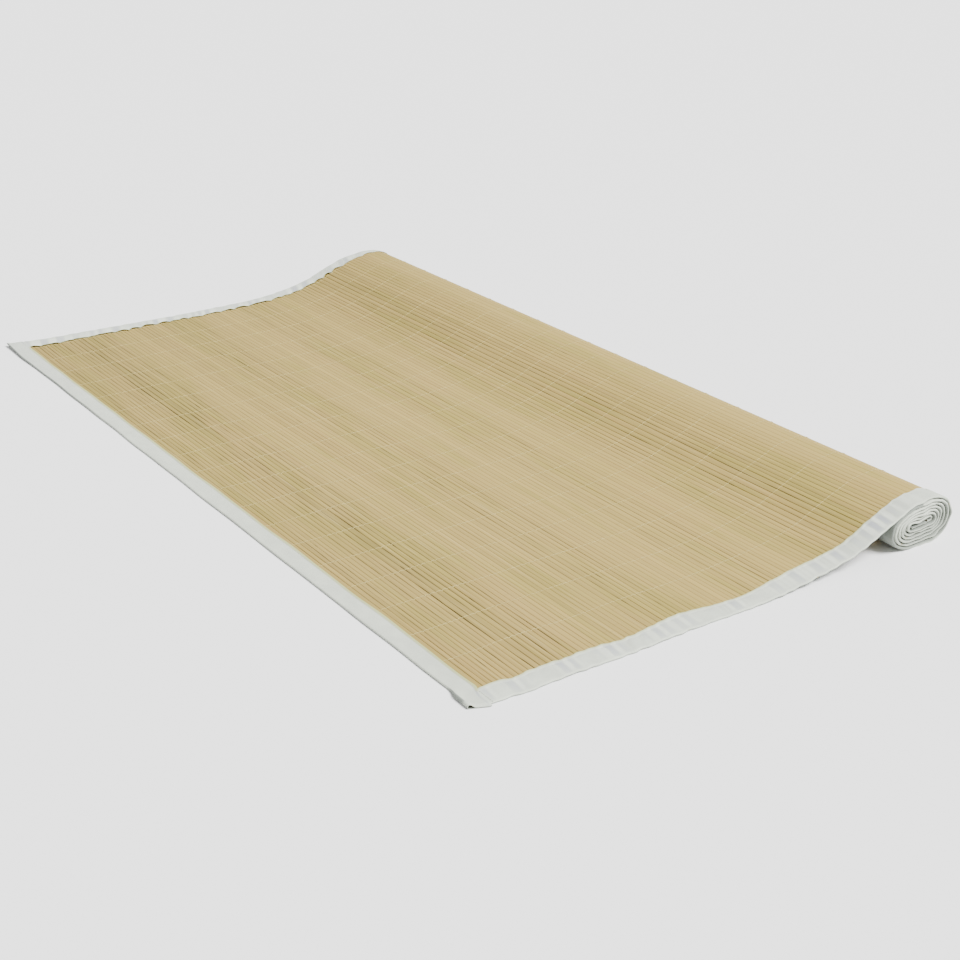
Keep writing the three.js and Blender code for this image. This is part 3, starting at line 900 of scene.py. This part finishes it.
def make_near_binding(settings, finish):
    """Near binding: the same folded tape along the near edge, over the side bindings.

    Its seam is a shallow groove with painted shade in it. Its left end stands proud of the
    corner. At the right corner it narrows, its cut end runs askew, and its fold opens into a
    loop. The fold has painted shade in that loop and towards the left end, where the upper flap
    is also greyer.
    """
    rng = np.random.default_rng(61)
    left, right, fine = -RUG_WIDTH / 2 - NEAR_TAB_LEFT, RUG_WIDTH / 2, 60 * MM
    x = np.concatenate([
        np.arange(left, left + fine, 1.6 * MM),
        np.arange(left + fine, right - fine, 5 * MM),
        np.linspace(right - 58 * MM, right, 49),
    ])[:, None]
    mm = x / MM
    at_right = smooth(mm, 553, 575)
    past = np.maximum(smooth(-mm, 601, 611), smooth(mm, 596.4, 599.6))
    bulge = 4.2 * at_right + 1.6 * bell(mm, -540, 34) + 0.22 * ripple(rng, x, 0.05, 0.3)
    wide = 0.5 * ripple(rng, x, 0.06, 0.4) - 0.6 - 7 * smooth(mm, 563, 585)
    uneven = ripple(rng, x, 0.03, 0.2)

    def closed(share):
        """How far the flaps lie together past the rug's ends, less so at the fold."""
        return past * np.interp(share, (0, 0.75, 0.95), (1, 1, 0.2))

    def upper(share):
        """Upper flap: level with a dip at the seam, and risen at the right end's loop."""
        calm = np.interp(share, (0, 0.16, 0.5, 1), (0.3, 0.2, 1, 0.6))
        height = NEAR_HEIGHT + NEAR_EXTRA * over_sides(x) + 0.1 * MM * uneven * calm
        height -= 0.24 * MM * seam_dip(share, 0.03)
        height -= 0.1 * MM * np.interp(share, (0, 0.12), (1, 0))
        height = height * (1 - closed(share)) - 0.25 * MM * closed(share)
        return height + 2.2 * MM * at_right * smooth(share, 0.72, 1)

    def lower(share):
        """Lower flap: level."""
        return UNDERSIDE * (1 - closed(share)) - 0.75 * MM * closed(share)

    distance, height = tape_section(BINDING_WIDTH + wide * MM, bulge * MM, upper, lower)
    askew = corner_cut(distance) * smooth(x, 560 * MM, right)
    grid = place(distance, x - askew, height)
    thin = np.interp(UPPER_FLAP, (0, 0.12, 0.17), (1, 0.8, 0)) * (1 - over_sides(x))
    thin = in_columns(x, UPPER_COLUMNS, thin)
    # Painted shade in the right loop and along the fold towards the left end
    loop = smooth(mm, 546, 562) * (1 - smooth(mm, 588, 595))
    dark = in_columns(x, FOLD_COLUMNS, np.maximum(1 - smooth(mm, -420, -100), loop))
    # Painted shade in the seam's groove, and greyer upper flap towards the left end
    seam = np.array((0.3, 0.9, 0.9, 0.9, 0.3)) * (0.6 + 0.3 * uneven)
    crease = in_columns(x, SEAM_COLUMNS, seam) + 0.3 * (1 - smooth(mm, -570, -200))
    make_tape(settings, finish, "near_binding", grid, x, thin, np.clip(crease, 0, 1), dark)


def make_core_binding(settings, finish):
    """Core binding: folded tape over the last slats, inside the roll, its ends shut."""
    half = RUG_WIDTH / 2
    steps = np.array((0, 1.2, 2.4, 3.6, 5, 7, 10, 14)) * MM
    middle = np.linspace(-half + 20 * MM, half - 20 * MM, 58)
    x = np.concatenate([steps - half, middle, half - steps[::-1]])[:, None]
    opened = smooth(half - np.abs(x), 0, 6 * MM)
    thick = (0.25 + 0.85 * opened) * MM
    slack = 0.06 * MM * ripple(71, x, 0.02, 0.1) * opened


    def flap(way):
        """Height of the upper (1) or lower (-1) flap, the same all across."""
        return lambda share: slack + way * thick + 0 * share

    distance, height = tape_section(BINDING_WIDTH, 0, flap(1), flap(-1))
    grid = place(RUG_LENGTH - distance, x, height)
    make_tape(settings, finish, "core_binding", grid, x)


# Pieces: the stitches


# A stitch's rings: shares of its length, its width and its dip
STITCH_RINGS = np.array([
    (-0.5, 0.35, 0.75), (-0.36, 0.9, 0.2), (0, 1, 0), (0.36, 0.9, 0.2), (0.5, 0.35, 0.75),
])
STITCH_DIP = 0.3 * MM
STITCH_SHARE = 0.8


def stitch_tubes(settings, centre, along, up):
    """Stitches: short round-ended tubes at the centres, bowed up in the middle."""
    along, up = (np.broadcast_to(way, centre.shape)[:, None] for way in (along, up))
    way, size, sink = (STITCH_RINGS[:, [i]] for i in range(3))
    size = size * settings.stitch_width / 2
    spine = centre[:, None] + way * settings.stitch_length * STITCH_SHARE * along
    rings = ovals(spine - sink * STITCH_DIP * up, np.cross(along, up) * size, up * size)
    number = np.arange(len(centre))[:, None, None] * 0.37
    return *tubes(rings), {"ply": triples(way * settings.stitch_length, ROUND, number)}


def make_stitches(settings):
    """Machine stitches along the seams of the near and side bindings."""
    finish = thread_finish("seam_cotton", settings.cotton, settings.cotton_shade)
    step, end = settings.stitch_length, RUG_WIDTH / 2 - 3 * MM
    x = np.arange(-end, end, step)
    height = NEAR_HEIGHT + NEAR_EXTRA * over_sides(x) + 0.02 * MM
    centre = place(BINDING_WIDTH - SEAM_INSET, x, height)
    parts = [stitch_tubes(settings, centre, X_AXIS, Z_AXIS)]
    run = np.arange(29 * MM, run_at_turn(0.3), step)
    up = np.stack([0 * run, *on_line(run, "up_y", "up_z")], -1)
    for side in (1, -1):
        x = side * (RUG_WIDTH / 2 - (side_width(run, side) - SEAM_INSET)) + end_drift(run, side)
        centre = place(run, x, SIDE_HEIGHT + 0.1 * MM)
        parts.append(stitch_tubes(settings, centre, unit(np.gradient(centre, axis=0)), up))
    make_piece("seam_stitches", joined(parts), finish, 80)


# Settings that a user would change


def colour(name, where, default):
    """A colour and the place where it shows."""
    return bpy.props.FloatVectorProperty(
        name=name, description=f"Colour of {where}", default=default,
        subtype="COLOR", size=3, min=0, max=1,
    )


def length(name, description, default):
    """A length above nothing, in metres."""
    return bpy.props.FloatProperty(
        name=name, description=description, default=default,
        unit="LENGTH", min=0.00001, precision=5,
    )


def amount(name, description, default):
    """A number from 0 up."""
    return bpy.props.FloatProperty(name=name, description=description, default=default, min=0)


class RugMatSettings(bpy.types.PropertyGroup):
    """Sizes and colours of the slats and warp threads."""

    bamboo_light: colour("Bamboo", "most slats", (0.420, 0.310, 0.098))
    bamboo_green: colour("Greener bamboo", "the greener patches", (0.365, 0.288, 0.078))
    bamboo_warm: colour("Warmer bamboo", "the warmer patches", (0.430, 0.304, 0.101))
    bamboo_pale: colour("Pale bamboo", "pale fibres", (0.58, 0.46, 0.19))
    # The dark bamboo colour and the edge darkness also give the painted shade in the grooves and
    # grooved bands
    bamboo_dark_and_shade: colour("Dark bamboo", "dark fibres and cut edges", (0.11, 0.08, 0.032))
    groove_shade_darkness: amount("Edge darkness", "How dark the slats' edges are", 0.5)
    threads: bpy.props.IntProperty(
        name="Warp threads", description="Number of warp threads", default=19, min=2, max=60
    )
    first_thread: bpy.props.FloatProperty(
        name="First thread", description="x of the first thread", unit="LENGTH", default=-0.5749
    )
    thread_spacing: length("Thread spacing", "Distance between warp threads", 0.0603)
    thread_width: length("Thread width", "Width of a strand", 0.00075)
    thread: colour("Thread", "the warp threads", (0.72, 0.63, 0.28))
    thread_shade: colour("Thread shade", "the gaps between the plies", (0.50, 0.40, 0.15))


class RugBindingSettings(bpy.types.PropertyGroup):
    """Sizes and colours of the bindings and their seams."""

    cloth_thickness: length("Cloth thickness", "Thickness of the tape", 0.0004)
    cloth_thread: length("Cloth thread", "Pitch of the weave", 0.0007)
    pucker_height: length("Pucker height", "Height of the puckers of the side bindings", 0.0013)
    stitch_length: length("Stitch length", "Distance from stitch to stitch", 0.0034)
    stitch_width: length("Stitch width", "Width of a stitch", 0.00042)
    cotton: colour("Cotton", "the tape", (0.61, 0.65, 0.545))
    cotton_shade: colour("Cotton shade", "its greyer parts", (0.555, 0.59, 0.50))
    cotton_thin: colour("Thin cotton", "tape that slats show through", (0.44, 0.46, 0.20))
    # Painted shade and painted highlight for a crease's two sides, and painted shade for the fold
    # and shaded places
    cotton_crease_shade: colour("Creased cotton", "a crease's dark side", (0.41, 0.43, 0.44))
    cotton_painted_highlight: colour("Bright cotton", "a crease's bright side", (0.78, 0.82, 0.72))
    cotton_painted_shade: colour("Underside", "the fold next to the floor", (0.16, 0.18, 0.16))


class RugStageSettings(bpy.types.PropertyGroup):
    """Floor, light and camera."""

    floor: colour("Floor", "the floor", (0.96, 0.96, 0.96))
    room_light: amount("Room light", "Strength of the light from all round", 0.72)
    top_light: amount("Top light", "Strength of the light from above", 8.3)


# Operators, one for each piece or group of like pieces


# The photo's camera: focal length and sensor width in mm, place, and angles in degrees
CAMERA_LENS = 59.37
CAMERA_SENSOR = 36.0
CAMERA_PLACE = 1.6072, -0.7157 + NEAR_EDGE_Y, 0.7879
CAMERA_TURN, CAMERA_PITCH, CAMERA_TILT = 35.4515, 24.1769, 0.5373
FLOOR_CORNERS = (-80, -80, 0), (80, -80, 0), (80, 80, 0), (-80, 80, 0)
LAMP_PLACE = 2.2, 1.4, 3.6
LAMP_SPREAD = 30


class RugOperator:
    """What the rug's operators share."""

    bl_options = {"REGISTER", "UNDO"}


class BAMBOO_RUG_OT_set_stage(RugOperator, bpy.types.Operator):
    """Make the camera, the pale floor and the soft light"""

    bl_idname = "bamboo_rug.set_stage"
    bl_label = "Set the stage"

    def execute(self, context):
        settings = context.scene.rug_stage
        data = bpy.data.cameras.new("camera")
        data.lens, data.sensor_width = CAMERA_LENS, CAMERA_SENSOR
        camera = add_object("camera", data)
        turn, pitch = math.radians(CAMERA_TURN), math.radians(CAMERA_PITCH)
        level = Vector((-math.cos(turn), math.sin(turn), 0))
        ahead = level * math.cos(pitch) - Vector((0, 0, math.sin(pitch)))
        tilt = Quaternion((0, 0, 1), math.radians(CAMERA_TILT))
        camera.location = CAMERA_PLACE
        camera.rotation_euler = (ahead.to_track_quat("-Z", "Y") @ tilt).to_euler()
        context.scene.camera = camera
        mesh = bpy.data.meshes.new("floor")
        mesh.from_pydata(FLOOR_CORNERS, [], [(0, 1, 2, 3)])
        mesh.materials.append(floor_finish(settings))
        floor = add_object("floor", mesh)
        world = bpy.data.worlds.new("soft_room")
        world.use_nodes = True
        background = world.node_tree.nodes["Background"]
        background.inputs["Color"].default_value = 1, 1, 1, 1
        background.inputs["Strength"].default_value = settings.room_light
        context.scene.world = world
        lamp_data = bpy.data.lights.new("top_lamp", "SUN")
        lamp_data.angle = math.radians(LAMP_SPREAD)
        lamp_data.energy = settings.top_light
        lamp = add_object("top_lamp", lamp_data)
        lamp.location = LAMP_PLACE
        lamp.rotation_euler = (-lamp.location).to_track_quat("-Z", "Y").to_euler()
        return {"FINISHED"}


class BAMBOO_RUG_OT_lay_slats(RugOperator, bpy.types.Operator):
    """Make the bamboo slats, flat and wound"""

    bl_idname = "bamboo_rug.lay_slats"
    bl_label = "Lay the slats"

    def execute(self, context):
        make_slats(context.scene.rug_mat)
        return {"FINISHED"}


class BAMBOO_RUG_OT_twine_threads(RugOperator, bpy.types.Operator):
    """Make the warp threads that hold the slats together"""

    bl_idname = "bamboo_rug.twine_threads"
    bl_label = "Twine the warp threads"

    def execute(self, context):
        make_threads(context.scene.rug_mat)
        return {"FINISHED"}


class BAMBOO_RUG_OT_fold_bindings(RugOperator, bpy.types.Operator):
    """Make the four bindings of folded tape"""

    bl_idname = "bamboo_rug.fold_bindings"
    bl_label = "Fold the bindings"

    def execute(self, context):
        settings = context.scene.rug_binding
        finish = cotton_finish(settings)
        make_side_binding(settings, 1, finish)
        make_side_binding(settings, -1, finish)
        make_near_binding(settings, finish)
        make_core_binding(settings, finish)
        return {"FINISHED"}


class BAMBOO_RUG_OT_sew_seams(RugOperator, bpy.types.Operator):
    """Make the stitches of the bindings' seams"""

    bl_idname = "bamboo_rug.sew_seams"
    bl_label = "Sew the seams"

    def execute(self, context):
        make_stitches(context.scene.rug_binding)
        return {"FINISHED"}


class BAMBOO_RUG_PT_pieces(bpy.types.Panel):
    """Lists the rug's pieces and their settings"""

    bl_label = "Bamboo rug"
    bl_space_type = "VIEW_3D"
    bl_region_type = "UI"
    bl_category = "Rug"

    def draw(self, context):
        for operator in OPERATORS:
            self.layout.operator(operator.bl_idname)
        for group in (getattr(context.scene, key) for key in SETTINGS):
            box = self.layout.box()
            for name in group.__annotations__:
                box.prop(group, name)


OPERATORS = tuple(RugOperator.__subclasses__())
CLASSES = *OPERATORS, BAMBOO_RUG_PT_pieces
SETTINGS = {
    "rug_mat": RugMatSettings,
    "rug_binding": RugBindingSettings,
    "rug_stage": RugStageSettings,
}


def register():
    for name, group in SETTINGS.items():
        bpy.utils.register_class(group)
        setattr(bpy.types.Scene, name, bpy.props.PointerProperty(type=group))
    for made in CLASSES:
        bpy.utils.register_class(made)


def unregister():
    for made in reversed(CLASSES):
        bpy.utils.unregister_class(made)
    for name, group in reversed(SETTINGS.items()):
        delattr(bpy.types.Scene, name)
        bpy.utils.unregister_class(group)


def main():
    register()
    bpy.ops.bamboo_rug.set_stage()
    bpy.ops.bamboo_rug.lay_slats()
    bpy.ops.bamboo_rug.twine_threads()
    bpy.ops.bamboo_rug.fold_bindings()
    bpy.ops.bamboo_rug.sew_seams()


if __name__ == "__main__":
    main()
